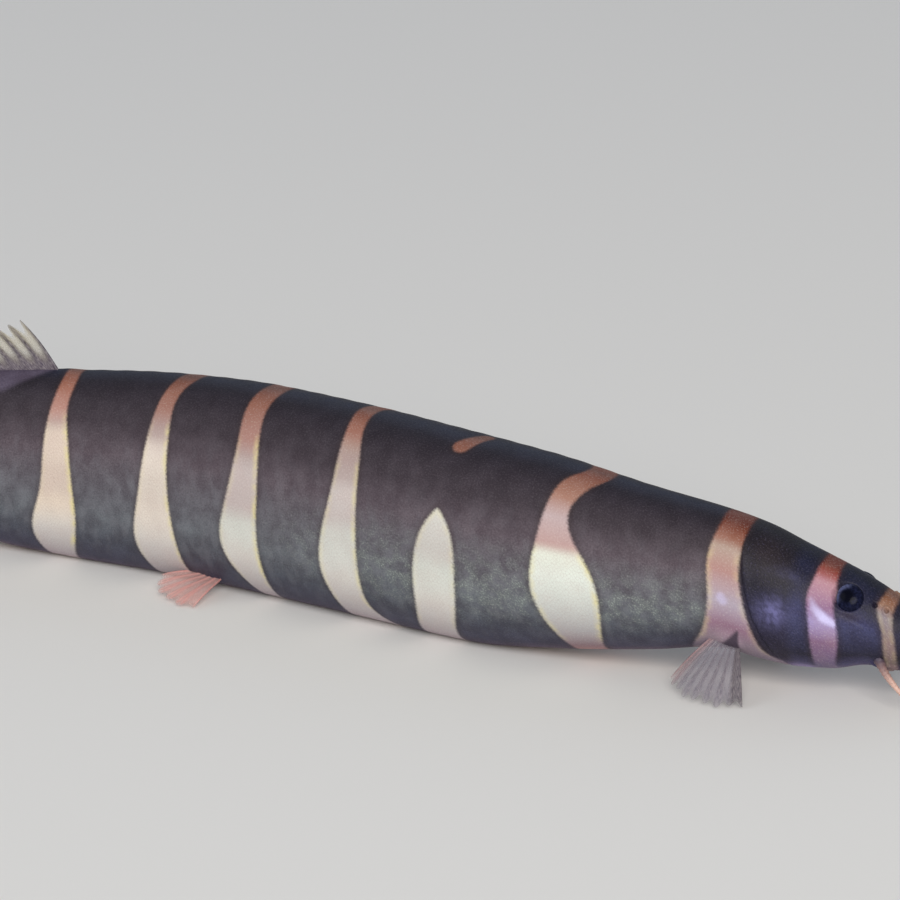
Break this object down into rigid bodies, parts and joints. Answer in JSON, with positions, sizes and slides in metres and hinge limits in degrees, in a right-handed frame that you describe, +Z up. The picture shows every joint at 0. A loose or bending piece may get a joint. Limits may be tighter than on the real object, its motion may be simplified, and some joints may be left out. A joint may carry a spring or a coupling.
{
  "type": "kuhli loach",
  "caption": "Life-size still model of a banded kuhli loach resting on its belly, with fins, eyes and barbels as separate solids.",
  "frame": {"origin": "on the flat under the belly, 38 mm back from the snout tip, at floor level", "axes": "+Z up from the floor, +X towards the head, +Y to the fish's left"},
  "size_m": [0.09, 0.0171, 0.0136],
  "materials": {
    "skin": "smooth wet skin, dark purple-brown with narrow bars from orange on the back to cream on the flank",
    "fin": "translucent grey membrane with darker rays",
    "fin_pink": "translucent pinkish membrane with pale rays",
    "barbel": "soft fleshy skin",
    "eye": "glossy dark navy with a narrow blue-grey rim"
  },
  "bodies": {
    "root": {"head": "skin", "trunk_front": "skin", "trunk_middle": "skin", "trunk_rear": "skin", "tail_stem": "skin", "caudal_fin": "fin", "dorsal_fin": "fin", "anal_fin": "fin_pink", "pectoral_fin_left": "fin", "pectoral_fin_right": "fin", "pelvic_fin_left": "fin_pink", "pelvic_fin_right": "fin_pink", "eye_left": "eye", "eye_right": "eye", "barbel_inner_rostral_left": "barbel", "barbel_inner_rostral_right": "barbel", "barbel_outer_rostral_left": "barbel", "barbel_outer_rostral_right": "barbel", "barbel_maxillary_left": "barbel", "barbel_maxillary_right": "barbel"}
  },
  "joints": []
}
